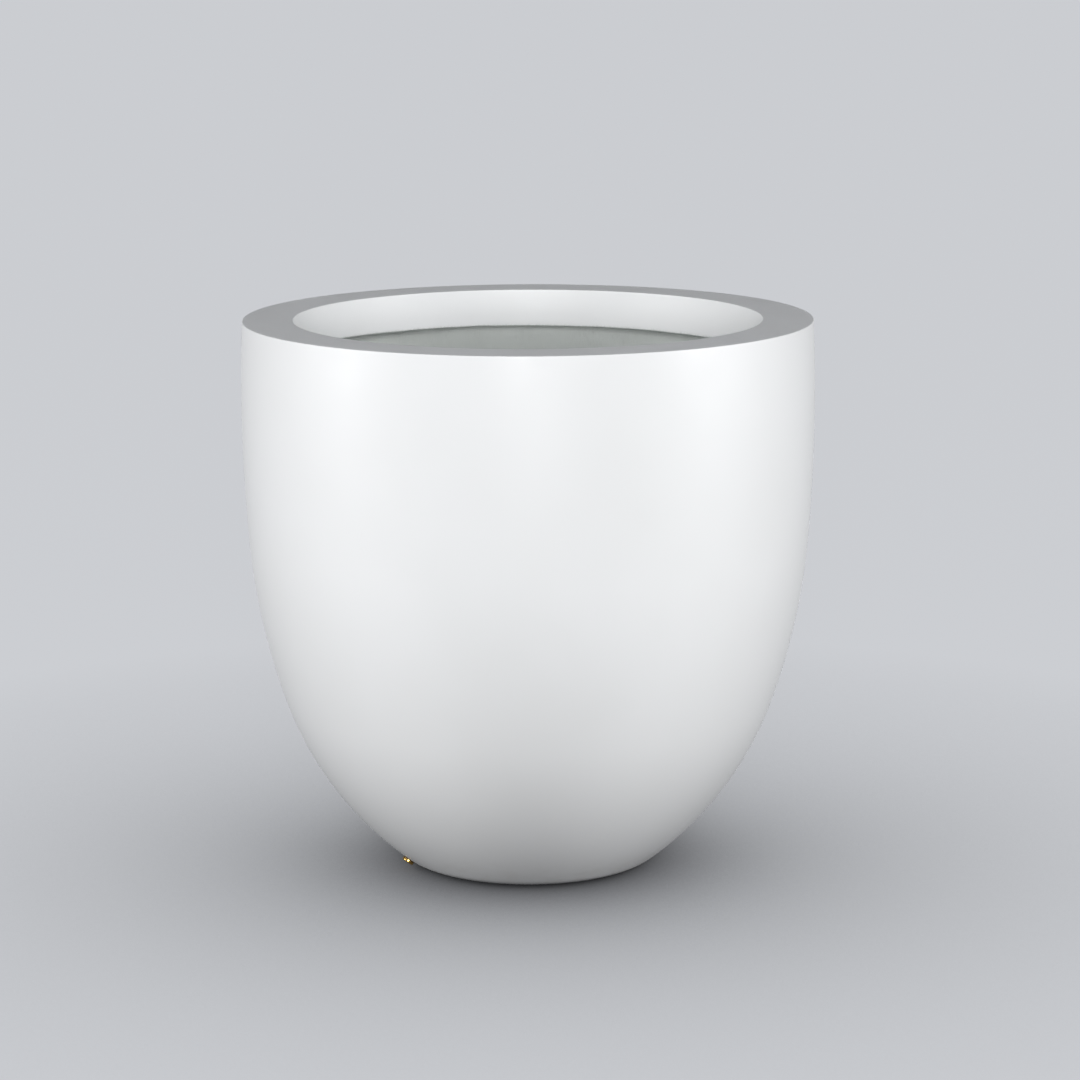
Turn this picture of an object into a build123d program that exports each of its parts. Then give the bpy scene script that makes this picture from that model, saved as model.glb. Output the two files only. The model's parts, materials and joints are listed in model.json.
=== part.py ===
from build123d import *
from math import cos, radians, sin
import os

os.makedirs("parts", exist_ok=True)

# A deep white glass-fibre bowl planter on four thin pads. Millimetres, +Z up. The
# origin is on the floor under the middle of the bowl, and -Y is the front.

# Overall sizes
rim_diameter = 900.0
overall_height = 880.0

# Outline of the bowl, from the flat foot up. Each arc runs on smoothly from the one
# before and turns by its own angle, and the last one reaches the rim.
foot_radius = 167.5
corner_radius = 68.5
corner_turn = 38.0
lower_radius = 549.0
lower_turn = 32.6
flank_radius = 1028.0
flank_turn = 14.9

# Laminate and rim
wall = 6.0
rim_width = 80.0
rim_thickness = 6.0
lip_depth = 62.0
lip_thickness = 6.0
rim_edge_round = 1.5
lip_edge_round = 2.2
bead_leg = 18.0

# Base
board_inset = 15.0
board_thickness = 15.0
cap_thickness = 3.0
cap_flange = 10.0

# Pads under the foot
pad_count = 4
pad_radius = 30.0
pad_thickness = 3.0
pad_circle_radius = 120.0
pad_edge_round = 0.6
first_pad_angle = 45.0

# Drain fitting, on the corner arc just outside the foot, at the left and a little forward
drain_slope = 38.0
drain_angle = 202.5
barrel_radius = 10.0
barrel_length = 24.0
hole_clearance = 0.15
flange_radius = 13.5
flange_thickness = 1.5
gasket_thickness = 0.8
boss_radius = 24.0
boss_height = 7.0
washer_radius = 15.0
washer_thickness = 1.5
nut_across_flats = 27.0
nut_thickness = 6.0
nut_chamfer = 0.8
thread_clearance = 0.05

# Plug: a quarter inch pipe thread, drawn as a plain shank at its outside radius
plug_thread_radius = 6.58
plug_shank_length = 10.0
plug_bore_spare = 1.2
through_bore_radius = 5.2
plug_head_radius = 9.75
plug_head_height = 5.0
plug_head_round = 2.0
coin_slot_width = 2.2
coin_slot_depth = 2.0
seal_radius = 9.0
seal_thickness = 1.0

# Strainer on the inner end of the barrel
strainer_wall = 1.6
strainer_height = 14.0
strainer_round = 2.5
strainer_slots = 8
strainer_slot_width = 2.6
strainer_slot_depth = 9.0
strainer_centre = 3.0

# Worked out from the sizes above
rim_radius = rim_diameter / 2
opening_radius = rim_radius - rim_width
shell_floor = pad_thickness + wall
rim_underside = overall_height - rim_thickness
above_rim = overall_height + 2 * wall
bead_overlap = wall / 2
board_radius = foot_radius - board_inset

slope = radians(drain_slope)
heading = radians(drain_angle)
drain_distance = foot_radius + corner_radius * sin(slope)
drain_height = pad_thickness + corner_radius * (1 - cos(slope))
drain_plane = Plane(
    origin=(drain_distance * cos(heading), drain_distance * sin(heading), drain_height),
    x_dir=(-sin(heading), cos(heading), 0),
    z_dir=(sin(slope) * cos(heading), sin(slope) * sin(heading), -cos(slope)),
)

# Depths along the drain's axis, measured inward from the outside of the wall
recess_depth = flange_thickness + gasket_thickness
boss_face = wall + boss_height
nut_seat = boss_face + washer_thickness
nut_top = nut_seat + nut_thickness
barrel_end = max(barrel_length, nut_top + strainer_wall)


def drain_at(depth):
    return drain_plane.offset(-depth)


def bowl_outline(inset, rim_end):
    # The foot and its four arcs, drawn in the open line builder, at a depth of inset
    # inside the bowl's outer surface
    foot = Line((0, pad_thickness + inset), (foot_radius, pad_thickness + inset))
    corner = JernArc(foot @ 1, foot % 1, corner_radius - inset, corner_turn)
    lower = JernArc(corner @ 1, corner % 1, lower_radius - inset, lower_turn)
    flank = JernArc(lower @ 1, lower % 1, flank_radius - inset, flank_turn)
    return TangentArc(flank @ 1, rim_end, tangent=flank % 1)


def save(part, name):
    part.label = name
    export_step(part, f"parts/{name}.step")


# Half sections of the bowl, drawn from the axis outward: all that lies inside its outer
# surface, all that lies inside its inner surface, which runs on above the rim, and the
# laminate wall between them
with BuildSketch() as outer_section:
    with BuildLine():
        outer_arc = bowl_outline(0, (rim_radius, overall_height))
        Polyline(outer_arc @ 1, (0, overall_height), (0, pad_thickness))
    make_face()

lean = outer_arc % 1
inner_end = (rim_radius - wall * lean.Y, overall_height + wall * lean.X)
with BuildSketch() as inner_section:
    with BuildLine():
        bowl_outline(wall, inner_end)
        Polyline(inner_end, (inner_end[0], above_rim), (0, above_rim), (0, shell_floor))
    make_face()

with BuildSketch() as wall_section:
    add(outer_section.sketch)
    add(inner_section.sketch, mode=Mode.SUBTRACT)

# Shell: the moulded bowl, trimmed level under the rim, with the recessed drain hole
with BuildPart() as planter_shell:
    with BuildSketch(Plane.XZ):
        add(wall_section.sketch)
        Rectangle(rim_diameter, rim_underside, align=(Align.MIN, Align.MIN), mode=Mode.INTERSECT)
    revolve(axis=Axis.Z)
    with BuildSketch(drain_at(recess_depth)):
        Circle(flange_radius + hole_clearance)
    extrude(amount=recess_depth + wall, mode=Mode.SUBTRACT)
    with BuildSketch(drain_at(boss_face)):
        Circle(barrel_radius + hole_clearance)
    extrude(amount=boss_face, mode=Mode.SUBTRACT)
save(planter_shell.part, "planter_shell")

# Rim: a flat ring with a lip turned down inside the mouth, its outer edge flush
# with the bowl
with BuildPart() as rim_ring:
    with BuildSketch(Plane.XZ):
        with Locations((opening_radius, overall_height)):
            Rectangle(rim_width + wall, rim_thickness, align=(Align.MIN, Align.MAX))
        add(outer_section.sketch, mode=Mode.INTERSECT)
        with Locations((opening_radius, overall_height)):
            Rectangle(lip_thickness, lip_depth, align=(Align.MIN, Align.MAX))
    revolve(axis=Axis.Z)
    top_edges = rim_ring.edges().group_by(Axis.Z)[-1]
    fillet(top_edges, radius=rim_edge_round)
    lip_edges = rim_ring.edges().group_by(Axis.Z)[0]
    fillet(lip_edges, radius=lip_edge_round)
save(rim_ring.part, "rim_ring")

# Bond bead: a fillet of paste in the corner between the shell and the rim
with BuildPart() as rim_bond_bead:
    with BuildSketch(Plane.XZ):
        with BuildLine():
            Polyline(
                (rim_radius - wall - bead_leg, rim_underside),
                (rim_radius - bead_overlap, rim_underside),
                (rim_radius - bead_overlap, rim_underside - bead_leg - bead_overlap),
                close=True,
            )
        make_face()
        add(inner_section.sketch, mode=Mode.INTERSECT)
    revolve(axis=Axis.Z)
save(rim_bond_bead.part, "rim_bond_bead")

# Base board: a plywood disc on the flat of the shell
with BuildPart() as base_board:
    with BuildSketch(Plane.XY.offset(shell_floor)):
        Circle(board_radius)
    extrude(amount=board_thickness)
save(base_board.part, "base_board")

# Base laminate: a cap over the board, with a flange bonded to the shell
with BuildPart() as base_laminate:
    with BuildSketch(Plane.XY.offset(shell_floor)):
        Circle(board_radius + cap_thickness + cap_flange)
    extrude(amount=cap_thickness)
    with BuildSketch(Plane.XY.offset(shell_floor)):
        Circle(board_radius + cap_thickness)
    extrude(amount=board_thickness + cap_thickness)
    cap_rim = base_laminate.edges().group_by(Axis.Z)[-1]
    fillet(cap_rim, radius=cap_thickness)
    with BuildSketch(Plane.XY.offset(shell_floor)):
        Circle(board_radius)
    extrude(amount=board_thickness, mode=Mode.SUBTRACT)
save(base_laminate.part, "base_laminate")

# Foot pads: thin rubber discs stuck under the flat of the foot
for index in range(pad_count):
    pad_angle = first_pad_angle + index * 360 / pad_count
    with BuildPart() as foot_pad:
        with BuildSketch():
            with PolarLocations(pad_circle_radius, 1, start_angle=pad_angle):
                Circle(pad_radius)
        extrude(amount=pad_thickness)
        fillet(foot_pad.edges().group_by(Axis.Z)[0], radius=pad_edge_round)
    save(foot_pad.part, f"foot_pad_{index + 1}")

# The space inside the wall, which shapes what is built up on it
with BuildPart() as cavity:
    with BuildSketch(Plane.XZ):
        add(inner_section.sketch)
    revolve(axis=Axis.Z)

# Boss: laminate built up inside the wall to give the fitting a flat seat
with BuildPart() as drain_boss:
    with BuildSketch(drain_at(boss_face)):
        Circle(boss_radius)
    extrude(amount=boss_face)
    add(cavity.part, mode=Mode.INTERSECT)
    with BuildSketch(drain_at(boss_face)):
        Circle(barrel_radius + hole_clearance)
    extrude(amount=boss_face, mode=Mode.SUBTRACT)
save(drain_boss.part, "drain_boss")

# Gasket: a rubber ring at the bottom of the recess
with BuildPart() as drain_gasket:
    with BuildSketch(drain_at(recess_depth)):
        Circle(flange_radius)
        Circle(barrel_radius + hole_clearance, mode=Mode.SUBTRACT)
    extrude(amount=gasket_thickness)
save(drain_gasket.part, "drain_gasket")

# Bush: a flanged brass barrel through the wall, bored for the plug
with BuildPart() as drain_bush:
    with BuildSketch(drain_at(flange_thickness)):
        Circle(flange_radius)
    extrude(amount=flange_thickness)
    with BuildSketch(drain_at(barrel_end)):
        Circle(barrel_radius)
    extrude(amount=barrel_end)
    with BuildSketch(drain_at(plug_shank_length + plug_bore_spare)):
        Circle(plug_thread_radius + thread_clearance)
    extrude(amount=plug_shank_length + plug_bore_spare, mode=Mode.SUBTRACT)
    with BuildSketch(drain_at(barrel_end)):
        Circle(through_bore_radius)
    extrude(amount=barrel_end, mode=Mode.SUBTRACT)
save(drain_bush.part, "drain_bush")

# Washer under the locknut
with BuildPart() as drain_washer:
    with BuildSketch(drain_at(nut_seat)):
        Circle(washer_radius)
        Circle(barrel_radius + hole_clearance, mode=Mode.SUBTRACT)
    extrude(amount=washer_thickness)
save(drain_washer.part, "drain_washer")

# Locknut: a hexagon whose corners are turned back at both faces
with BuildPart() as drain_locknut:
    with BuildSketch(drain_at(nut_top)):
        RegularPolygon(nut_across_flats / 2, 6, major_radius=False)
    extrude(amount=nut_thickness)
    with BuildSketch(drain_at(nut_top)):
        Circle(nut_across_flats / 2 + nut_chamfer)
    extrude(amount=nut_thickness, mode=Mode.INTERSECT)
    with BuildSketch(drain_at(nut_top)):
        Circle(barrel_radius + thread_clearance)
    extrude(amount=nut_thickness, mode=Mode.SUBTRACT)
save(drain_locknut.part, "drain_locknut")

# Strainer: a slotted cap pushed over the barrel down to the locknut
with BuildPart() as drain_strainer:
    strainer_radius = barrel_radius + thread_clearance + strainer_wall
    strainer_end = nut_top + strainer_height
    with BuildSketch(drain_at(strainer_end)):
        Circle(strainer_radius)
    extrude(amount=strainer_height)
    end_face = drain_strainer.faces().sort_by(Axis(drain_plane.origin, drain_plane.z_dir))[0]
    fillet(end_face.edges(), radius=strainer_round)
    with BuildSketch(drain_at(strainer_end - strainer_wall)):
        Circle(barrel_radius + thread_clearance)
    extrude(amount=strainer_height, mode=Mode.SUBTRACT)
    slot_length = strainer_radius - strainer_centre
    with BuildSketch(drain_at(strainer_end)):
        with PolarLocations(strainer_centre + slot_length, strainer_slots):
            SlotOverall(2 * slot_length, strainer_slot_width)
    extrude(amount=strainer_slot_depth, mode=Mode.SUBTRACT)
save(drain_strainer.part, "drain_strainer")

# Seal: a rubber ring under the plug's head
with BuildPart() as plug_seal:
    with BuildSketch(drain_plane):
        Circle(seal_radius)
        Circle(plug_thread_radius + thread_clearance, mode=Mode.SUBTRACT)
    extrude(amount=seal_thickness)
save(plug_seal.part, "plug_seal")

# Plug: a round head with a coin slot, on a threaded shank
with BuildPart() as drain_plug:
    with BuildSketch(drain_at(plug_shank_length)):
        Circle(plug_thread_radius)
    extrude(amount=plug_shank_length + seal_thickness)
    with BuildSketch(drain_plane.offset(seal_thickness)):
        Circle(plug_head_radius)
    extrude(amount=plug_head_height)
    head_face = drain_plug.faces().sort_by(Axis(drain_plane.origin, drain_plane.z_dir))[-1]
    fillet(head_face.edges(), radius=plug_head_round)
    with BuildSketch(drain_plane.offset(seal_thickness + plug_head_height)):
        Rectangle(2 * plug_head_radius, coin_slot_width)
    extrude(amount=-coin_slot_depth, mode=Mode.SUBTRACT)
save(drain_plug.part, "drain_plug")
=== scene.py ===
import json
import math
import bpy
import numpy as np
from mathutils import Matrix, Quaternion, Vector, noise

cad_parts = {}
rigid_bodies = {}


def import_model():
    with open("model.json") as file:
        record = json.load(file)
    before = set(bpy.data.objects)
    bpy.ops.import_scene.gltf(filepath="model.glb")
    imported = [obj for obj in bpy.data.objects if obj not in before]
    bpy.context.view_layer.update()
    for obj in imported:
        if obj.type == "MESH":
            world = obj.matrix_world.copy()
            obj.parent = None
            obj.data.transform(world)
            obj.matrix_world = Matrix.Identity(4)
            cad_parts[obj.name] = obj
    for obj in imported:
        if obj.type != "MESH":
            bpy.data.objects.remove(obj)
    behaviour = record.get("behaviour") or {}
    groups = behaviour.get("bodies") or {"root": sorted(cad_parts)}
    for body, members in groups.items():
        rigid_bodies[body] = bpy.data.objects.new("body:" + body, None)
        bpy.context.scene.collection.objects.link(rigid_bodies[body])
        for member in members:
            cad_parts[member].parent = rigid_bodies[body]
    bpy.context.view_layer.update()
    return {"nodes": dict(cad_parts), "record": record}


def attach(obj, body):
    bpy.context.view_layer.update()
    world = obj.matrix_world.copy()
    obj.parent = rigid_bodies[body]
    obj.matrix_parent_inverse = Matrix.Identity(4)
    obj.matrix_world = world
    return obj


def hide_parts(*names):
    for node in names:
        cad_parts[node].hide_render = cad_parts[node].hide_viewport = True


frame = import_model()
for item in bpy.context.selected_objects:
    item.select_set(False)
print("stage: frame loaded")


# Shared helpers

def mm(value):
    return value / 1000


def colour(text):  # sRGB hex text to the linear colour that the nodes take
    parts = [int(text[k:k + 2], 16) / 255 for k in (1, 3, 5)]
    return [p / 12.92 if p <= 0.04045 else ((p + 0.055) / 1.055) ** 2.4 for p in parts] + [1.0]


def perMetre(sizeInMm):  # texture scale that gives features of this size
    return 1000 / sizeInMm


def waveScale(periodInMm):  # a wave texture repeats every 2 pi / 20 of its scale
    return perMetre(periodInMm) * 2 * math.pi / 20


def addNode(tree, kind, values={}, links={}):
    node = tree.nodes.new(kind)
    for key, value in values.items():
        if isinstance(key, str) and hasattr(node, key):
            setattr(node, key, value)
        else:
            node.inputs[key].default_value = value
    for key, socket in links.items():
        tree.links.new(socket, node.inputs[key])
    return node


def newMaterial(name):
    material = bpy.data.materials.new(name)
    material.use_nodes = True
    material.node_tree.nodes.clear()
    tree = material.node_tree
    place = addNode(tree, "ShaderNodeTexCoord").outputs["Object"]
    return material, tree, place


def speckle(tree, place, sizeInMm, detail=3, seed=0.0, stretch=(1, 1, 1), turn=(0, 0, 0)):
    shift = {"Location": (seed, seed * 0.7, -seed), "Rotation": turn, "Scale": stretch}
    moved = addNode(tree, "ShaderNodeMapping", shift, {"Vector": place})
    grain = {"Scale": perMetre(sizeInMm), "Detail": detail, "Roughness": 0.55}
    return addNode(tree, "ShaderNodeTexNoise", grain, {"Vector": moved.outputs[0]}).outputs["Fac"]


def span(tree, value, low, high, newLow=0.0, newHigh=1.0):
    ends = {"interpolation_type": "SMOOTHSTEP", 1: low, 2: high, 3: newLow, 4: newHigh}
    return addNode(tree, "ShaderNodeMapRange", ends, {0: value}).outputs[0]


def calc(tree, operation, a, b):
    values = {"operation": operation}
    links = {}
    for key, item in ((0, a), (1, b)):
        if isinstance(item, (int, float)):
            values[key] = item
        else:
            links[key] = item
    return addNode(tree, "ShaderNodeMath", values, links).outputs[0]


def mixColours(tree, share, first, second):
    values = {"data_type": "RGBA"}
    links = {}
    for key, item in ((0, share), (6, first), (7, second)):
        if isinstance(item, (list, float)):
            values[key] = item
        else:
            links[key] = item
    return addNode(tree, "ShaderNodeMix", values, links).outputs[2]


def bumps(tree, height, depthInMm, strength=1.0, below=None):
    links = {"Height": height}
    if below is not None:
        links["Normal"] = below
    values = {"Strength": strength, "Distance": mm(depthInMm)}
    return addNode(tree, "ShaderNodeBump", values, links).outputs[0]


def closeMaterial(tree, values, links):
    shader = addNode(tree, "ShaderNodeBsdfPrincipled", values, links)
    addNode(tree, "ShaderNodeOutputMaterial", {}, {"Surface": shader.outputs[0]})


# Materials

paint = {
    "colour": "#F4F5F6",  # fresh coat
    "shade": "#EDEEEE",  # where the coat is thinner
    "dust": "#DAD9D4",
    "bare": "#C4C9C6",  # laminate at the cut edge of the lip
    "roughness": 0.44,
    "peelSize": 2.6,  # mm across one dimple of the sprayed coat
    "peelDepth": 0.012,
    "splashHeight": 0.075,  # metres above the floor that splashed dust reaches
    "splashFull": 0.004,
}


def satinPaint():  # white two-part paint, sprayed over faired laminate and left satin
    material, tree, place = newMaterial("satin_white_sprayed_paint")
    cloud = speckle(tree, place, 240, 2, 3.1)
    specks = span(tree, speckle(tree, place, 1.1, 2, 5.0), 0.70, 0.78)
    height = addNode(tree, "ShaderNodeSeparateXYZ", {}, {0: place}).outputs[2]
    splash = span(tree, height, paint["splashHeight"], paint["splashFull"])
    lowPart = calc(tree, "MULTIPLY", splash, span(tree, speckle(tree, place, 30, 4, 1.7), 0.35, 0.75))
    base = mixColours(tree, cloud, colour(paint["colour"]), colour(paint["shade"]))
    base = mixColours(tree, calc(tree, "MULTIPLY", lowPart, 0.35), base, colour(paint["dust"]))
    base = mixColours(tree, calc(tree, "MULTIPLY", specks, 0.25), base, colour(paint["dust"]))
    trim = addNode(tree, "ShaderNodeAttribute", {"attribute_name": "bareEdge"}).outputs["Fac"]
    scuffs = calc(tree, "MULTIPLY", speckle(tree, place, 4, 3, 9.0), 0.5)
    worn = span(tree, calc(tree, "ADD", trim, scuffs), 0.55, 1.25)
    base = mixColours(tree, worn, base, colour(paint["bare"]))
    dullPatches = speckle(tree, place, 60, 3, 7.3)
    rough = span(tree, dullPatches, 0.3, 0.7, paint["roughness"] - 0.04, paint["roughness"] + 0.06)
    peel = bumps(tree, speckle(tree, place, paint["peelSize"], 1, 2.2), paint["peelDepth"])
    closeMaterial(tree, {"IOR": 1.47}, {"Base Color": base, "Roughness": rough, "Normal": peel})
    return material


laminate = {
    "resin": "#E4E8E5",  # greenish grey of set polyester over glass
    "strands": "#EEF2EF",
    "wet": "#D0D6D3",  # where resin ran and pooled
    "strandWidth": 1.3,  # mm
    "strandLength": 34,
    "layers": (  # how each layer of strands is turned, in radians
        (0.3, 0.2, 0.1), (1.2, 0.4, 0.9), (0.7, 1.3, 2.0),
        (1.9, 0.8, 0.4), (0.2, 1.9, 1.3), (1.5, 1.5, 2.7),
    ),
    "reliefDepth": 0.35,
    "roughness": 0.36,
}


def rawLaminate():  # chopped strand mat, hand laid and left bare on the inside
    material, tree, place = newMaterial("bare_hand_laid_glass_laminate")
    share = laminate["strandWidth"] / laminate["strandLength"]
    strands = None
    for turn in laminate["layers"]:
        layer = speckle(tree, place, laminate["strandWidth"], 1, turn[2] * 4, (1, 1, share), turn)
        ridge = span(tree, calc(tree, "ABSOLUTE", calc(tree, "SUBTRACT", layer, 0.5), 0), 0.075, 0.0)
        if strands is None:
            strands = ridge
        else:  # lower layers show a little less
            strands = calc(tree, "MAXIMUM", calc(tree, "MULTIPLY", strands, 0.93), ridge)
    pools = span(tree, speckle(tree, place, 70, 4, 4.4, (1, 1, 0.35)), 0.5, 0.72)
    seen = calc(tree, "MULTIPLY", strands, span(tree, speckle(tree, place, 22, 3, 8.8), 0.3, 0.65, 0.25, 1.0))
    glint = calc(tree, "MULTIPLY", seen, 0.55)
    base = mixColours(tree, glint, colour(laminate["resin"]), colour(laminate["strands"]))
    base = mixColours(tree, calc(tree, "MULTIPLY", pools, 0.35), base, colour(laminate["wet"]))
    rough = span(tree, pools, 0.0, 1.0, laminate["roughness"] + 0.12, laminate["roughness"] - 0.1)
    relief = bumps(tree, seen, laminate["reliefDepth"], 0.8)
    relief = bumps(tree, speckle(tree, place, 9, 4, 6.1), laminate["reliefDepth"] * 2, 0.6, relief)
    closeMaterial(tree, {"IOR": 1.52}, {"Base Color": base, "Roughness": rough, "Normal": relief})
    return material


paste = {"colour": "#AEB3A9", "shade": "#8F958A", "roughness": 0.55}


def resinPaste():  # filled resin paste, pressed into the corner with a gloved finger
    material, tree, place = newMaterial("finger_smoothed_resin_paste")
    clouds = span(tree, speckle(tree, place, 14, 4, 2.0), 0.3, 0.7)
    base = mixColours(tree, clouds, colour(paste["colour"]), colour(paste["shade"]))
    relief = bumps(tree, speckle(tree, place, 5, 4, 1.0), 0.6)
    closeMaterial(tree, {"Roughness": paste["roughness"]}, {"Base Color": base, "Normal": relief})
    return material


ply = {"light": "#D9B98A", "dark": "#A9794A", "plyThickness": 2.1, "roughness": 0.62}


def sandedPlywood():  # birch plywood, sawn round and sanded
    material, tree, place = newMaterial("sanded_birch_plywood")
    grain = speckle(tree, place, 2.2, 5, 1.0, (1, 0.06, 1))
    bands = {"bands_direction": "Z", "Scale": waveScale(ply["plyThickness"] * 2), "Distortion": 0.4}
    layers = addNode(tree, "ShaderNodeTexWave", bands, {"Vector": place}).outputs["Fac"]
    mixed = calc(tree, "ADD", calc(tree, "MULTIPLY", grain, 0.6), calc(tree, "MULTIPLY", layers, 0.4))
    base = mixColours(tree, span(tree, mixed, 0.25, 0.75), colour(ply["light"]), colour(ply["dark"]))
    relief = bumps(tree, grain, 0.08)
    closeMaterial(tree, {"Roughness": ply["roughness"]}, {"Base Color": base, "Normal": relief})
    return material


rubber = {"colour": "#1D1D1E", "chalk": "#3A3A3A", "roughness": 0.82}


def blackRubber():  # die-cut black rubber sheet with a little chalk left on it
    material, tree, place = newMaterial("die_cut_black_rubber_sheet")
    chalk = span(tree, speckle(tree, place, 3, 4, 1.0), 0.5, 0.8)
    base = mixColours(tree, chalk, colour(rubber["colour"]), colour(rubber["chalk"]))
    dull = speckle(tree, place, 12, 3, 3.0)
    rough = span(tree, dull, 0.3, 0.7, rubber["roughness"] - 0.1, rubber["roughness"] + 0.08)
    relief = bumps(tree, speckle(tree, place, 0.7, 2, 4.0), 0.05)
    closeMaterial(tree, {}, {"Base Color": base, "Roughness": rough, "Normal": relief})
    return material


brass = {
    "bright": "#E2B868",
    "tarnish": "#8E5A34",  # reddish brown where hands and water reach it
    "roughness": 0.24,
    "toolMarks": 0.28,  # mm between turning marks
}


def turnedBrass():  # bar brass, turned, polished once and since dulled
    material, tree, place = newMaterial("turned_brass_lightly_tarnished")
    stain = span(tree, speckle(tree, place, 7, 5, 2.0), 0.42, 0.72)
    dulled = calc(tree, "MULTIPLY", stain, 0.6)
    base = mixColours(tree, dulled, colour(brass["bright"]), colour(brass["tarnish"]))
    rough = calc(tree, "ADD", calc(tree, "MULTIPLY", stain, 0.22), brass["roughness"])
    fineness = waveScale(brass["toolMarks"])
    rings = {"wave_type": "RINGS", "rings_direction": "Z", "Scale": fineness, "Distortion": 0.3}
    marks = addNode(tree, "ShaderNodeTexWave", rings, {"Vector": place}).outputs["Fac"]
    relief = bumps(tree, marks, 0.006, 0.6)
    closeMaterial(tree, {"Metallic": 1.0}, {"Base Color": base, "Roughness": rough, "Normal": relief})
    return material


fibre = {"colour": "#8F3326", "shade": "#6E241C", "roughness": 0.6}


def redFibre():  # vulcanised red fibre, punched
    material, tree, place = newMaterial("punched_red_vulcanised_fibre")
    fibres = speckle(tree, place, 0.6, 4, 1.0, (1, 0.2, 1))
    streaks = span(tree, fibres, 0.3, 0.7)
    base = mixColours(tree, streaks, colour(fibre["colour"]), colour(fibre["shade"]))
    relief = bumps(tree, fibres, 0.05)
    closeMaterial(tree, {"Roughness": fibre["roughness"]}, {"Base Color": base, "Normal": relief})
    return material


plastic = {"colour": "#232426", "shade": "#2E2F31", "smoothest": 0.42, "roughest": 0.55}


def mouldedBlackPlastic():  # injection moulded polypropylene, spark-eroded mould finish
    material, tree, place = newMaterial("spark_textured_black_polypropylene")
    grain = speckle(tree, place, 0.5, 2, 1.0)
    flow = span(tree, speckle(tree, place, 8, 3, 3.0), 0.3, 0.7)
    base = mixColours(tree, flow, colour(plastic["colour"]), colour(plastic["shade"]))
    rough = span(tree, grain, 0.3, 0.7, plastic["smoothest"], plastic["roughest"])
    closeMaterial(tree, {}, {"Base Color": base, "Roughness": rough, "Normal": bumps(tree, grain, 0.03)})
    return material


finishes = {
    "painted_laminate": satinPaint(),
    "bare_laminate": rawLaminate(),
    "bonding_paste": resinPaste(),
    "plywood": sandedPlywood(),
    "rubber": blackRubber(),
    "brass": turnedBrass(),
    "fibre_washer": redFibre(),
    "strainer_plastic": mouldedBlackPlastic(),
}
for name, node in frame["nodes"].items():
    slotName = next(p["material_slot"] for p in frame["record"]["subparts"] if p["node"] == name)
    node.data.materials.clear()
    node.data.materials.append(finishes[slotName])
print("stage: materials made")


# Bowl outline, the same arcs as the model's source, in metres

outline = {
    "footRadius": mm(167.5),
    "footShares": (0, 0.15, 0.3, 0.45, 0.6, 0.75, 0.88, 1),  # where the flat foot has points
    "arcs": (  # radius, turn in degrees, steps
        (mm(68.5), 38.0, 14),
        (mm(549), 32.6, 34),
        (mm(1028), 14.9, 28),
    ),
    "lastSteps": 38,
    "footHeight": mm(3),
    "rimHeight": mm(880),
    "rimRadius": mm(450),
    "wall": mm(6),
}


def arcFrom(start, heading, end=None, radius=None, turn=None, steps=20):
    # Points along an arc that turns left, given by its radius and turn or by its end
    if end is not None:
        chord = math.hypot(end[0] - start[0], end[1] - start[1])
        half = math.atan2(end[1] - start[1], end[0] - start[0]) - heading
        turn = 2 * half
        radius = chord / 2 / math.sin(half)
    points = []
    for k in range(1, steps + 1):
        now = heading + turn * k / steps
        outward = radius * (math.sin(now) - math.sin(heading))
        upward = radius * (math.cos(heading) - math.cos(now))
        points.append((start[0] + outward, start[1] + upward))
    return points, heading + turn


def bowlOutline(inset, end):
    level = outline["footHeight"] + inset
    points = [(outline["footRadius"] * share, level) for share in outline["footShares"]]
    heading = 0.0
    for radius, turn, steps in outline["arcs"]:
        more, heading = arcFrom(points[-1], heading, None, radius - inset, math.radians(turn), steps)
        points += more
    more, heading = arcFrom(points[-1], heading, end=end, steps=outline["lastSteps"])
    return points + more, heading


outerLine, lean = bowlOutline(0, (outline["rimRadius"], outline["rimHeight"]))
wall = outline["wall"]
innerEnd = (outline["rimRadius"] - wall * math.sin(lean), outline["rimHeight"] + wall * math.cos(lean))
innerLine, lean = bowlOutline(wall, innerEnd)


def radiusAt(line, height):
    rising = line[len(outline["footShares"]) - 1:]
    return float(np.interp(height, [p[1] for p in rising], [p[0] for p in rising]))


# Solids of revolution, with a shaping function for what hands and tools left uneven

def revolve(name, section, segments, shaping=None, closed=True, facesOf=None, attribute=None):
    angles = [2 * math.pi * k / segments for k in range(segments)]
    points = []
    for index, (radius, height) in enumerate(section):
        for angle in angles:
            r, z = (radius, height) if shaping is None else shaping(index, radius, height, angle)
            points.append((r * math.cos(angle), r * math.sin(angle), z))
    rows = len(section)
    faces = []
    kinds = []
    for row in range(rows if closed else rows - 1):
        below = row * segments
        above = (row + 1) % rows * segments
        for k in range(segments):
            nextK = (k + 1) % segments
            faces.append((below + k, below + nextK, above + nextK, above + k))
            kinds.append(0 if facesOf is None else facesOf(row))
    mesh = bpy.data.meshes.new(name)
    mesh.from_pydata(points, [], faces)
    mesh.polygons.foreach_set("material_index", kinds)
    if attribute is not None:
        layer = mesh.attributes.new("bareEdge", "FLOAT", "POINT")
        layer.data.foreach_set("value", np.repeat([attribute(i, p) for i, p in enumerate(section)], segments))
    piece = bpy.data.objects.new(name, mesh)
    bpy.context.scene.collection.objects.link(piece)
    weld(piece)
    return piece


def weld(piece):  # joins the points on the axis into one and turns every face outward
    bpy.context.view_layer.objects.active = piece
    piece.select_set(True)
    bpy.ops.object.mode_set(mode="EDIT")
    bpy.ops.mesh.select_all(action="SELECT")
    bpy.ops.mesh.remove_doubles(threshold=1e-7)
    bpy.ops.mesh.normals_make_consistent(inside=False)
    bpy.ops.object.mode_set(mode="OBJECT")
    piece.select_set(False)


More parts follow.
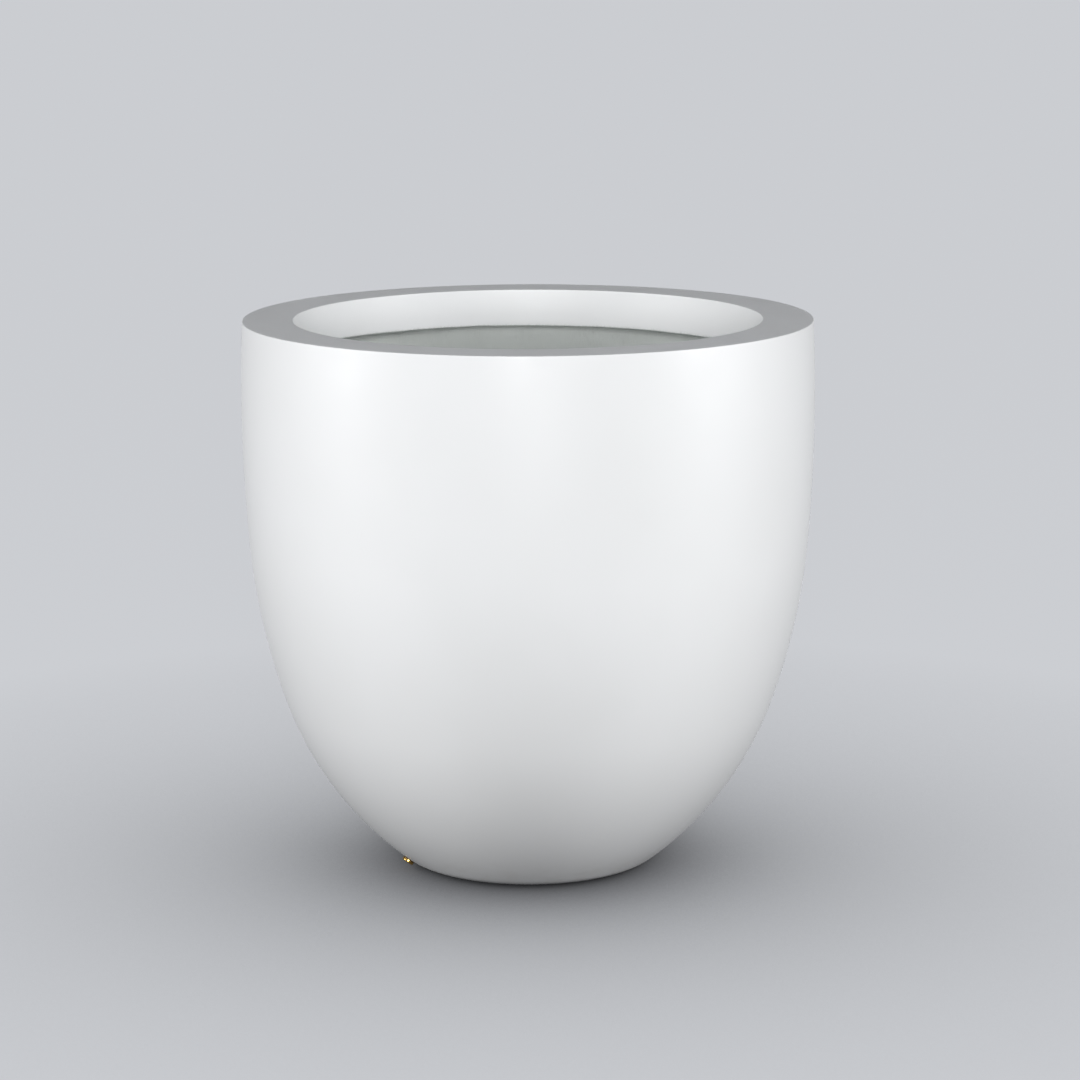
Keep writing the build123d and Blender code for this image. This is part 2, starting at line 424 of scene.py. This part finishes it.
def smooth(piece, degrees=32):
    bpy.context.view_layer.objects.active = piece
    piece.select_set(True)
    bpy.ops.object.shade_smooth_by_angle(angle=math.radians(degrees), keep_sharp_edges=False)
    piece.select_set(False)


def cut(piece, *cutters):
    for cutter in cutters:
        modifier = piece.modifiers.new("cut", "BOOLEAN")
        modifier.operation = "DIFFERENCE"
        modifier.solver = "EXACT"
        modifier.object = cutter
    bpy.context.view_layer.update()
    shaped = bpy.data.meshes.new_from_object(piece.evaluated_get(bpy.context.evaluated_depsgraph_get()))
    piece.modifiers.clear()
    shaped.name = piece.name
    piece.data = shaped
    for cutter in cutters:
        bpy.data.objects.remove(cutter)


def settle(piece, body, slotName, *nodes):
    if not piece.data.materials:
        piece.data.materials.append(finishes[slotName])
    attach(piece, body)
    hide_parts(*nodes)


def waves(x, y, z, size, seed=0.0):  # smooth noise from -1 to 1 with features of this size
    return noise.noise(Vector((x / size + seed, y / size - seed, z / size + seed * 2)))


# Drain frame: origin where the drain's axis leaves the wall, local z outward along it

drain = {
    "slope": 38.0,  # degrees from straight down
    "heading": 202.5,  # degrees round the bowl from +X
    "recessRadius": mm(13.65),
    "recessDepth": mm(2.3),
    "holeRadius": mm(10.15),
}
slope = math.radians(drain["slope"])
heading = math.radians(drain["heading"])
cornerRadius = outline["arcs"][0][0]
drainRadius = outline["footRadius"] + cornerRadius * math.sin(slope)
drainHeight = outline["footHeight"] + cornerRadius * (1 - math.cos(slope))
awayFromMiddle = Vector((math.cos(heading), math.sin(heading), 0))
drainPoint = awayFromMiddle * drainRadius + Vector((0, 0, drainHeight))
drainAxis = awayFromMiddle * math.sin(slope) - Vector((0, 0, math.cos(slope)))
sideways = Vector((-math.sin(heading), math.cos(heading), 0))
drainTurn = Matrix((sideways, drainAxis.cross(sideways), drainAxis)).transposed()
drainFrame = Matrix.Translation(drainPoint) @ drainTurn.to_4x4()


def drainCylinder(radius, low, high):
    piece = revolve("cutter", [(0, low), (radius, low), (radius, high), (0, high)], 96, closed=False)
    piece.matrix_world = drainFrame
    return piece


# Shell

shell = {
    "segments": 360,
    "outsideWave": mm(0.16),  # how far the faired outside is from true
    "outsideWaveSize": mm(210),
    "insideWave": mm(0.7),  # thicker and thinner patches of hand-laid mat
    "insideWaveSize": mm(38),
    "runDepth": mm(0.8),  # resin runs down the inside
}
trimHeight = outline["rimHeight"] - mm(6)


def trimmed(line):  # the line up to the rim ring's underside
    return [p for p in line if p[1] < trimHeight - mm(3)] + [(radiusAt(line, trimHeight), trimHeight)]


outerSection = trimmed(outerLine)
innerSection = trimmed(innerLine)
shellSection = outerSection + innerSection[::-1]


def shapeShell(index, radius, height, angle):
    x, y = radius * math.cos(angle), radius * math.sin(angle)
    easeEnds = min(1, max(0, (height - mm(20)) / mm(60))) * min(1, max(0, (trimHeight - height) / mm(20)))
    if index < len(outerSection):
        wave = shell["outsideWave"] * waves(x, y, height, shell["outsideWaveSize"])
        return radius + wave * easeEnds, height
    patch = shell["insideWave"] * waves(x, y, height, shell["insideWaveSize"], 4.0)
    run = max(0.0, noise.noise(Vector((angle * 9, height * 2.2, 3.0)))) ** 2 * shell["runDepth"] * 3
    return radius - (patch * 0.6 + abs(patch) * 0.4 + run) * easeEnds, height


def shellSide(row):  # painted outside, bare inside
    return 0 if row < len(outerSection) else 1


bowlShell = revolve("bowlShell", shellSection, shell["segments"], shapeShell, False, shellSide)
bowlShell.data.materials.append(finishes["painted_laminate"])
bowlShell.data.materials.append(finishes["bare_laminate"])
recess = drainCylinder(drain["recessRadius"], -drain["recessDepth"], mm(12))
hole = drainCylinder(drain["holeRadius"], -mm(16), mm(2))
cut(bowlShell, recess, hole)
smooth(bowlShell)
settle(bowlShell, "root", "painted_laminate", "planter_shell")
print("stage: shell made")


# Rim ring

rim = {
    "width": mm(80),
    "thickness": mm(6),
    "lipDepth": mm(62),
    "lipThickness": mm(6),
    "edgeRound": mm(1.5),
    "lipRound": mm(2.6),
    "trimWave": mm(1.6),  # the lip's lower edge was trimmed by hand
    "trimLean": mm(1.3),  # and is a little lower at the right
    "topWave": mm(0.25),
    "faceWave": mm(0.5),
    "segments": 480,
}


def rounded(corner, before, after, radius, steps=5):  # a corner of a section, turned into an arc
    a = Vector((before[0] - corner[0], before[1] - corner[1])).normalized()
    b = Vector((after[0] - corner[0], after[1] - corner[1])).normalized()
    start, end, middle = Vector(corner) + a * radius, Vector(corner) + b * radius, Vector(corner)
    points = []
    for k in range(steps + 1):
        t = k / steps
        points.append(tuple(start * (1 - t) ** 2 + middle * 2 * t * (1 - t) + end * t ** 2))
    return points


def steppedLine(start, end, steps):
    across, up = end[0] - start[0], end[1] - start[1]
    return [(start[0] + across * k / steps, start[1] + up * k / steps) for k in range(1, steps)]


mouth = outline["rimRadius"] - rim["width"]
top = outline["rimHeight"]
lipBottom = top - rim["lipDepth"]
lipBack = mouth + rim["lipThickness"]
underside = top - rim["thickness"]
outerTop = (outline["rimRadius"], top)
outerLow = (radiusAt(outerLine, underside), underside)
rimSection = [outerLow] + rounded(outerTop, outerLow, (mouth, top), rim["edgeRound"])
rimSection += steppedLine((outline["rimRadius"] - mm(3), top), (mouth + mm(3), top), 10)
rimSection += rounded((mouth, top), outerTop, (mouth, lipBottom), rim["edgeRound"])
rimSection += steppedLine((mouth, top - mm(3)), (mouth, lipBottom + mm(4)), 14)
rimSection += rounded((mouth, lipBottom), (mouth, top), (lipBack, lipBottom), rim["lipRound"], 7)
rimSection += rounded((lipBack, lipBottom), (mouth, lipBottom), (lipBack, underside), rim["lipRound"], 7)
rimSection += steppedLine((lipBack, lipBottom + mm(4)), (lipBack, underside - mm(5)), 8)
rimSection += rounded((lipBack, underside), (lipBack, lipBottom), outerLow, mm(4), 4)
rimSection += steppedLine((lipBack + mm(5), underside), (outerLow[0] - mm(2), underside), 6)


def shapeRim(index, radius, height, angle):
    x, y = math.cos(angle), math.sin(angle)
    low = min(1, max(0, (lipBottom + mm(30) - height) / mm(30)))
    handTrim = waves(x, y, 0, 0.42, 2.0) + 0.35 * waves(x, y, 0, 0.09, 7.0)
    trim = rim["trimWave"] * handTrim - rim["trimLean"] * x
    flat = 0
    if height > underside and radius < outline["rimRadius"] - mm(12):
        flat = rim["topWave"] * waves(x * radius, y * radius, 0, mm(150), 5.0)
    hollow = 0
    if radius <= mouth + mm(0.1):
        hollow = rim["faceWave"] * waves(x, y, height * 6, 0.5, 3.0) * low
    return radius + hollow, height + trim * low + flat


def bareEdge(index, point):
    away = math.hypot(max(0, mouth + mm(1) - point[0]), max(0, point[1] - lipBottom))
    if point[0] < lipBack - mm(0.5):
        return max(0, 1 - away / mm(6))
    if point[1] < underside and point[0] < lipBack + mm(1):  # the back of the lip is never painted
        return 1.0
    return 0


rimRing = revolve("rimRing", rimSection, rim["segments"], shapeRim, True, None, bareEdge)
smooth(rimRing)
settle(rimRing, "root", "painted_laminate", "rim_ring")
print("stage: rim made")


# Bond bead in the corner between shell and rim

bead = {"leg": mm(18), "legWave": mm(3.5), "lumps": mm(0.9), "segments": 480, "steps": 9}
beadCount = bead["steps"]


def beadSection():
    wallRadius = radiusAt(innerLine, underside)
    points = [(wallRadius + mm(1), underside)]
    for k in range(beadCount + 1):
        t = k / beadCount
        points.append((wallRadius - bead["leg"] * (1 - t) ** 1.8, underside - bead["leg"] * t ** 1.8))
    return points + [(wallRadius + mm(1.5), underside - bead["leg"] - mm(1))]


def shapeBead(index, radius, height, angle):
    if index == 0 or index == beadCount + 2:
        return radius, height
    x, y = math.cos(angle), math.sin(angle)
    t = (index - 1) / beadCount
    pressed = bead["legWave"] / bead["leg"] * waves(x, y, 0, 0.16, 1.0 + round(t))
    grow = 1 + pressed + 0.08 * waves(x, y, 0, 0.03, 2.0)
    lump = bead["lumps"] * waves(x * 6, y * 6, t, 0.35, 3.0) * math.sin(math.pi * t)
    base = radiusAt(innerLine, underside)
    return base - (base - radius) * grow - lump, underside - (underside - height) * grow - lump


bondBead = revolve("bondBead", beadSection(), bead["segments"], shapeBead)
smooth(bondBead, 50)
settle(bondBead, "root", "bonding_paste", "rim_bond_bead")
print("stage: bond bead made")


# Laminate over the base board

cap = {
    "boardRadius": mm(152.5),
    "boardThickness": mm(15),
    "thickness": mm(3),
    "flange": mm(10),
    "unevenness": mm(0.45),
    "size": mm(11),  # across one hump of the uneven surface
}
floorHeight = outline["footHeight"] + wall
capTop = floorHeight + cap["boardThickness"] + cap["thickness"]
capSide = cap["boardRadius"] + cap["thickness"]
capSection = [(cap["boardRadius"] * k / 16, capTop) for k in range(16)]
capSection += rounded((capSide, capTop), (0, capTop), (capSide, floorHeight), mm(3), 6)
capSection += steppedLine((capSide, capTop - mm(3)), (capSide, floorHeight + mm(6)), 5)
flangeTop = floorHeight + cap["thickness"]
flangeEdge = capSide + cap["flange"]
capSection += rounded((capSide, flangeTop), (capSide, capTop), (flangeEdge, flangeTop), mm(2.6), 5)
capSection += steppedLine((capSide + mm(3), flangeTop), (flangeEdge - mm(1.5), floorHeight + mm(2.4)), 4)
capEdge = len(capSection)
boardTop = floorHeight + cap["boardThickness"]
capSection += [(flangeEdge, floorHeight + mm(0.6)), (flangeEdge, floorHeight)]
capSection += [(cap["boardRadius"], floorHeight), (cap["boardRadius"], boardTop), (0, boardTop)]


def shapeCap(index, radius, height, angle):
    if index >= capEdge + 1:
        return radius, height
    x, y = radius * math.cos(angle), radius * math.sin(angle)
    humps = waves(x, y, height, cap["size"], 1.0) + 0.8 * waves(x, y, height, mm(45), 2.0)
    lift = cap["unevenness"] * humps
    frayed = mm(2) * waves(math.cos(angle), math.sin(angle), 0, 0.08, 6.0) if index >= capEdge - 3 else 0
    return radius + frayed, height + lift * 0.6 - mm(0.2)


baseCap = revolve("baseCap", capSection, 240, shapeCap, False)
smooth(baseCap, 45)
settle(baseCap, "root", "bare_laminate", "base_laminate")
print("stage: base laminate made")


# Boss: built up by hand inside the wall, round the drain

boss = {"radius": mm(24), "height": mm(7), "spread": mm(1.6), "unevenness": mm(0.5)}
bossFace = wall + boss["height"]


def wallDepth(across, along):  # how deep the wall's inside lies, measured along the drain's axis
    inside = cornerRadius - wall
    return wall + inside - math.sqrt(max(1e-9, inside ** 2 - along ** 2)) + across ** 2 / (2 * mm(330))


def shapeBoss(index, radius, height, angle):
    x, y = radius * math.cos(angle), radius * math.sin(angle)
    if index >= 8:
        return radius, -wallDepth(x, y) + mm(0.8)
    if index <= 3:
        return radius, height
    uneven = boss["unevenness"] * waves(x, y, height, mm(7), 5.0)
    outOfRound = mm(0.8) * waves(math.cos(angle), math.sin(angle), 0, 0.6, 2.0)
    if index > 5:
        height = min(height + uneven * 0.5, -wallDepth(x, y) + mm(0.5))
    return radius + uneven + outOfRound, height


bossSection = [(drain["holeRadius"], -bossFace)]
for seatRadius in (mm(13), mm(15), mm(16.5)):  # flat under the washer
    bossSection.append((seatRadius, -bossFace))
for edgeRadius, drop in ((mm(20), mm(0.1)), (mm(22.4), mm(0.5)), (mm(23.4), mm(1.6))):  # then it falls away
    bossSection.append((edgeRadius, -bossFace + drop))
bossSection.append((boss["radius"] + boss["spread"] * 0.4, -bossFace + mm(4)))
bossSection += [(boss["radius"], 0), (drain["holeRadius"], 0)]
drainBoss = revolve("drainBoss", bossSection, 120, shapeBoss)
drainBoss.matrix_world = drainFrame
smooth(drainBoss, 45)
settle(drainBoss, "root", "bare_laminate", "drain_boss")
print("stage: boss made")


# Threads: rings whose radius follows a helix

def threadedRings(radius, start, end, pitch, stepsPerPitch=10):
    count = max(2, int(abs(end - start) / pitch * stepsPerPitch))
    return [(radius, start + (end - start) * k / count) for k in range(count + 1)]


# Depth of the vee at this place, run out at both ends
def threadCut(height, angle, pitch, depth, start, end):
    turn = (height / pitch + angle / (2 * math.pi)) % 1
    vee = 1 - abs(2 * turn - 1)
    ease = min(1, abs(height - start) / (0.7 * pitch)) * min(1, abs(height - end) / (0.7 * pitch))
    return depth * min(1, max(0, (1 - vee) * 1.25 - 0.1)) * min(1, ease)


bush = {
    "flangeRadius": mm(13.5),
    "flangeThickness": mm(1.5),
    "barrelRadius": mm(10),
    "barrelEnd": mm(24),
    "pitch": mm(1.5),
    "threadDepth": mm(0.6),
    "bore": mm(6.63),
    "boreEnd": mm(11.2),
    "waterway": mm(5.2),
}
pipe = {"pitch": mm(1.337), "depth": mm(0.62)}
threadStart, threadEnd = -mm(13.6), -bush["barrelEnd"] + mm(0.5)
outsideRings = threadedRings(bush["barrelRadius"], threadStart, threadEnd, bush["pitch"])
insideRings = threadedRings(bush["bore"], -bush["boreEnd"] + mm(0.3), -mm(0.5), pipe["pitch"])
flange, barrel, bore, waterway = bush["flangeRadius"], bush["barrelRadius"], bush["bore"], bush["waterway"]
bushSection = [(bore + mm(0.6), 0), (flange - mm(1.2), 0), (flange - mm(0.35), -mm(0.1)), (flange, -mm(0.45))]
bushSection += [(flange, -bush["flangeThickness"]), (barrel, -bush["flangeThickness"])]
outsideFirst = len(bushSection)
bushSection += outsideRings
bushSection += [(barrel - mm(0.5), -bush["barrelEnd"]), (waterway + mm(0.3), -bush["barrelEnd"])]
bushSection += [(waterway, -bush["barrelEnd"] + mm(0.3)), (waterway, -bush["boreEnd"])]
bushSection.append((bore, -bush["boreEnd"]))
insideFirst = len(bushSection)
bushSection += insideRings


def shapeBush(index, radius, height, angle):
    if outsideFirst <= index < outsideFirst + len(outsideRings):
        vee = threadCut(height, angle, bush["pitch"], bush["threadDepth"], threadStart, threadEnd)
        return radius - vee, height
    if index >= insideFirst:
        vee = threadCut(height, angle, pipe["pitch"], pipe["depth"], -bush["boreEnd"], -mm(0.2))
        return radius + vee, height
    return radius, height


drainBush = revolve("drainBush", bushSection, 96, shapeBush)
drainBush.matrix_world = drainFrame
smooth(drainBush, 28)
settle(drainBush, "root", "brass", "drain_bush")
print("stage: bush made")


# Plug: plain round head with a coin slot, on a real pipe thread

plug = {
    "threadRadius": mm(6.58),
    "shankLength": mm(10),
    "sealThickness": mm(1),
    "headRadius": mm(9.75),
    "headHeight": mm(5),
    "headRound": mm(2),
    "segments": 160,
    "slotWidth": mm(2.2),
    "slotDepth": mm(2),
}
headLow = plug["sealThickness"]
headHigh = headLow + plug["headHeight"]
shankRings = threadedRings(plug["threadRadius"], -plug["shankLength"] + mm(0.6), -mm(0.4), pipe["pitch"])
plugSection = [(0, -plug["shankLength"]), (plug["threadRadius"] - mm(1), -plug["shankLength"])]
shankFirst = len(plugSection)
neck = plug["threadRadius"] - mm(0.5)
plugSection += shankRings + [(neck, 0), (neck, headLow), (plug["headRadius"] - mm(0.3), headLow)]
for rise in (mm(0.3), mm(0.6), mm(1.4), mm(2.3), mm(2.8)):  # the straight side of the head
    plugSection.append((plug["headRadius"], headLow + rise))
for k in range(1, 10):
    t = math.pi / 2 * k / 9
    inward, down = plug["headRound"] * (1 - math.cos(t)), plug["headRound"] * (1 - math.sin(t))
    plugSection.append((plug["headRadius"] - inward, headHigh - down))
plugSection += [(mm(5), headHigh), (mm(2.5), headHigh), (0, headHigh)]


def shapePlug(index, radius, height, angle):
    if shankFirst <= index < shankFirst + len(shankRings):
        vee = threadCut(height, angle, pipe["pitch"], pipe["depth"], -plug["shankLength"], -mm(0.2))
        return radius - vee, height
    return radius, height


drainPlug = revolve("drainPlug", plugSection, plug["segments"], shapePlug, False)
drainPlug.data.materials.append(finishes["brass"])
bpy.ops.mesh.primitive_cube_add(size=1, location=(0, 0, headHigh))
coinSlot = bpy.context.object
coinSlot.scale = (plug["headRadius"] * 2.2, plug["slotWidth"], plug["slotDepth"] * 2)
bpy.context.view_layer.update()
cut(drainPlug, coinSlot)
drainPlug.matrix_world = drainFrame
smooth(drainPlug, 28)
settle(drainPlug, "plug_body", "brass", "drain_plug")
print("stage: plug made")


# Floor, light and camera

studio = {
    "backdrop": "#CBCDD1",
    "floorSheet": "#4C4D50",  # what the lamps and the object's shadow act on
    "floorBounce": "#2C2D33",  # what the floor gives back to the object
    "floorGlow": 0.97,  # brings the lit floor to the backdrop's tone at the horizon
    "ambient": 0.40,  # share of the backdrop's tone that lights the object from all round
    "reflected": 0.15,
    "paintedShadow": 1.3,  # metres over which a painted shadow of the object darkens the floor's glow
    "paintedShadowDepth": 1.2,
    "floorSize": 900,
    "floorShift": 90,  # off centre, so that the plane's diagonal passes far away
    "sideWatts": 120,
    "frontWatts": 182,
    "backWatts": 90,
}


def stageFloor():
    bpy.ops.mesh.primitive_plane_add(size=studio["floorSize"], location=(studio["floorShift"], 0, 0))
    floor = bpy.context.object
    floor.name = "studioFloor"
    material, tree, place = newMaterial("matt_seamless_paper")
    path = addNode(tree, "ShaderNodeLightPath")
    reflected = calc(tree, "MAXIMUM", path.outputs["Is Glossy Ray"], path.outputs["Is Transmission Ray"])
    shown = calc(tree, "MAXIMUM", path.outputs["Is Camera Ray"], reflected)
    tone = mixColours(tree, shown, colour(studio["floorBounce"]), colour(studio["floorSheet"]))
    diffuse = addNode(tree, "ShaderNodeBsdfDiffuse", {}, {"Color": tone})
    # painted shadow: the floor's glow is multiplied by ambient occlusion, so the floor darkens round the
    # object without any lamp casting it
    paintedShadow = {"samples": 12, "Distance": studio["paintedShadow"]}
    shadowedGlow = addNode(tree, "ShaderNodeAmbientOcclusion", paintedShadow).outputs["AO"]
    shadowedGlow = calc(tree, "MULTIPLY", calc(tree, "POWER", shadowedGlow, studio["paintedShadowDepth"]), studio["floorGlow"])
    strength = calc(tree, "MULTIPLY", shown, shadowedGlow)
    glow = addNode(tree, "ShaderNodeEmission", {"Color": colour(studio["backdrop"])}, {"Strength": strength})
    both = addNode(tree, "ShaderNodeAddShader", {}, {0: diffuse.outputs[0], 1: glow.outputs[0]})
    addNode(tree, "ShaderNodeOutputMaterial", {}, {"Surface": both.outputs[0]})
    floor.data.materials.append(material)


def stageWorld():
    world = bpy.data.worlds.new("studio")
    bpy.context.scene.world = world
    world.use_nodes = True
    world.node_tree.nodes.clear()
    tree = world.node_tree
    path = addNode(tree, "ShaderNodeLightPath")
    plain = calc(tree, "MAXIMUM", path.outputs["Is Camera Ray"], path.outputs["Is Transmission Ray"])
    ends = {"data_type": "FLOAT", 2: studio["ambient"], 3: studio["reflected"]}
    level = addNode(tree, "ShaderNodeMix", ends, {0: path.outputs["Is Glossy Ray"]}).outputs[0]
    level = addNode(tree, "ShaderNodeMix", {"data_type": "FLOAT", 3: 1.0}, {0: plain, 2: level}).outputs[0]
    tone = {"Color": colour(studio["backdrop"])}
    background = addNode(tree, "ShaderNodeBackground", tone, {"Strength": level})
    addNode(tree, "ShaderNodeOutputWorld", {}, {"Surface": background.outputs[0]})


stageFloor()
litPieces = bpy.data.collections.new("litPieces")  # all that the side and back lamps light, so not the floor
for piece in bpy.data.objects:
    if piece.type == "MESH" and piece.name != "studioFloor":
        litPieces.objects.link(piece)


def softbox(name, azimuth, elevation, distance, size, watts, glossy=True, onFloor=False):
    lamp = bpy.data.lights.new(name, "AREA")
    lamp.shape = "DISK"
    lamp.size = size
    lamp.energy = watts
    holder = bpy.data.objects.new(name, lamp)
    holder.visible_camera = False
    holder.visible_glossy = glossy
    if not onFloor:
        holder.light_linking.receiver_collection = litPieces
    a, e = math.radians(azimuth), math.radians(elevation)
    away = Vector((math.sin(a) * math.cos(e), -math.cos(a) * math.cos(e), math.sin(e)))
    holder.location = Vector((0, 0, 0.5)) + away * distance
    holder.rotation_mode = "QUATERNION"
    holder.rotation_quaternion = away.to_track_quat("Z", "Y")
    bpy.context.scene.collection.objects.link(holder)


stageWorld()
softbox("softboxLeft", -73, 11, 5, 2.0, studio["sideWatts"])
softbox("softboxRight", 73, 11, 5, 2.0, studio["sideWatts"])
softbox("softboxFront", 0, 12, 5.8, 1.4, studio["frontWatts"], onFloor=True)
softbox("softboxBack", 180, 8, 5, 2.4, studio["backWatts"], glossy=False)

eye = {"distance": 5.4, "height": 1.56434, "pitch": 10.926, "turn": 0.1902, "roll": -0.2, "lens": 114.685}
lens = bpy.data.cameras.new("camera")
lens.lens = eye["lens"]
lens.sensor_width = 36
lens.clip_end = 2000
camera = bpy.data.objects.new("camera", lens)
pitch, turn = math.radians(eye["pitch"]), math.radians(eye["turn"])
looking = Vector((math.sin(turn) * math.cos(pitch), math.cos(turn) * math.cos(pitch), -math.sin(pitch)))
camera.location = (0, -eye["distance"], eye["height"])
camera.rotation_mode = "QUATERNION"
level = looking.to_track_quat("-Z", "Y")
camera.rotation_quaternion = level @ Quaternion((0, 0, 1), math.radians(eye["roll"]))
bpy.context.scene.collection.objects.link(camera)
bpy.context.scene.camera = camera
bpy.context.scene.view_settings.view_transform = "Standard"
print("stage: studio made")
